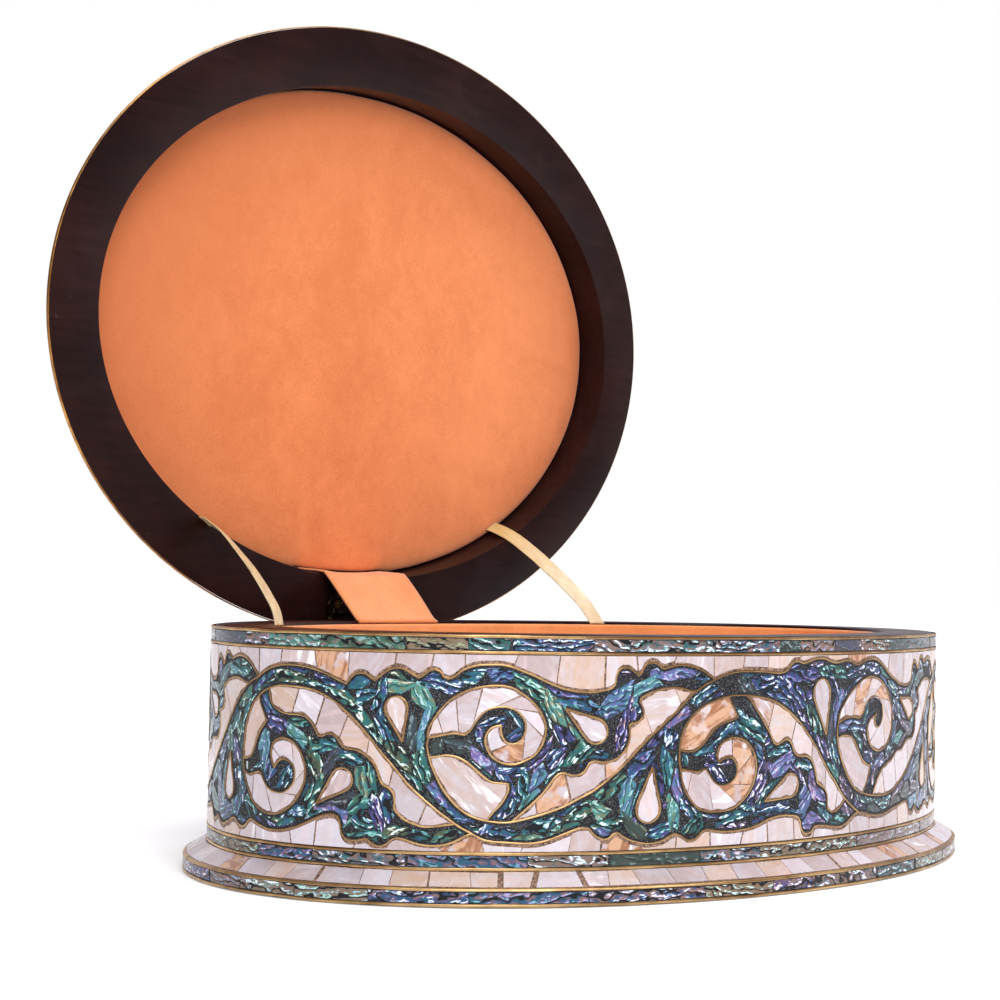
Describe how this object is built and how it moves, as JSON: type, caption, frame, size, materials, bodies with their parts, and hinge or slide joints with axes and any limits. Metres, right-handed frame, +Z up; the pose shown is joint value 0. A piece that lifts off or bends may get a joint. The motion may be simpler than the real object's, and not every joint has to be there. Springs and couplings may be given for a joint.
{
  "type": "inlaid jewelry box",
  "caption": "Oval wooden jewelry box inlaid with shell and brass wire, with a suede lining, ribbon stays and a domed lid hinged at the back.",
  "frame": {"origin": "centre of the foot's underside, on the surface that the box stands on", "axes": "+X along the oval's length, +Y to the back where the hinge is, +Z up"},
  "size_m": [0.317, 0.2376, 0.2876],
  "materials": {
    "dark_wood": "satin",
    "brass": "satin",
    "mother_of_pearl": "gloss",
    "abalone": "gloss",
    "orange_suede": "matte",
    "cream_satin": "satin"
  },
  "bodies": {
    "box": {"abalone_foot_band": "abalone", "abalone_foot_top_band": "abalone", "abalone_rim_band": "abalone", "box_carcass": "dark_wood", "floor_pad": "orange_suede", "hinge_flap": "orange_suede", "hinge_leaf_box": "brass", "hinge_pin": "brass", "hinge_screw_box_left": "brass", "hinge_screw_box_right": "brass", "pearl_foot_band": "mother_of_pearl", "pearl_vine_field": "mother_of_pearl", "ribbon_left": "cream_satin", "ribbon_right": "cream_satin", "wall_lining": "orange_suede", "wire_base": "brass", "wire_field_bottom": "brass", "wire_field_top": "brass", "wire_foot_edge": "brass", "wire_foot_top": "brass", "wire_rim": "brass"},
    "lid": {"hinge_leaf_lid": "brass", "hinge_screw_lid_left": "brass", "hinge_screw_lid_right": "brass", "lid_pad": "orange_suede", "lid_panel": "dark_wood", "pearl_lid_border": "mother_of_pearl", "pearl_lid_top": "mother_of_pearl", "wire_lid_edge": "brass", "wire_lid_inner": "brass"}
  },
  "joints": [
    {"name": "lid_hinge", "type": "hinge", "parent": "box", "child": "lid", "pos_m": [0, 0.1033, 0.07515], "axis": [1, 0, 0], "range_deg": [-5, 86.3], "deforming": ["ribbon_left", "ribbon_right", "hinge_flap"]}
  ]
}
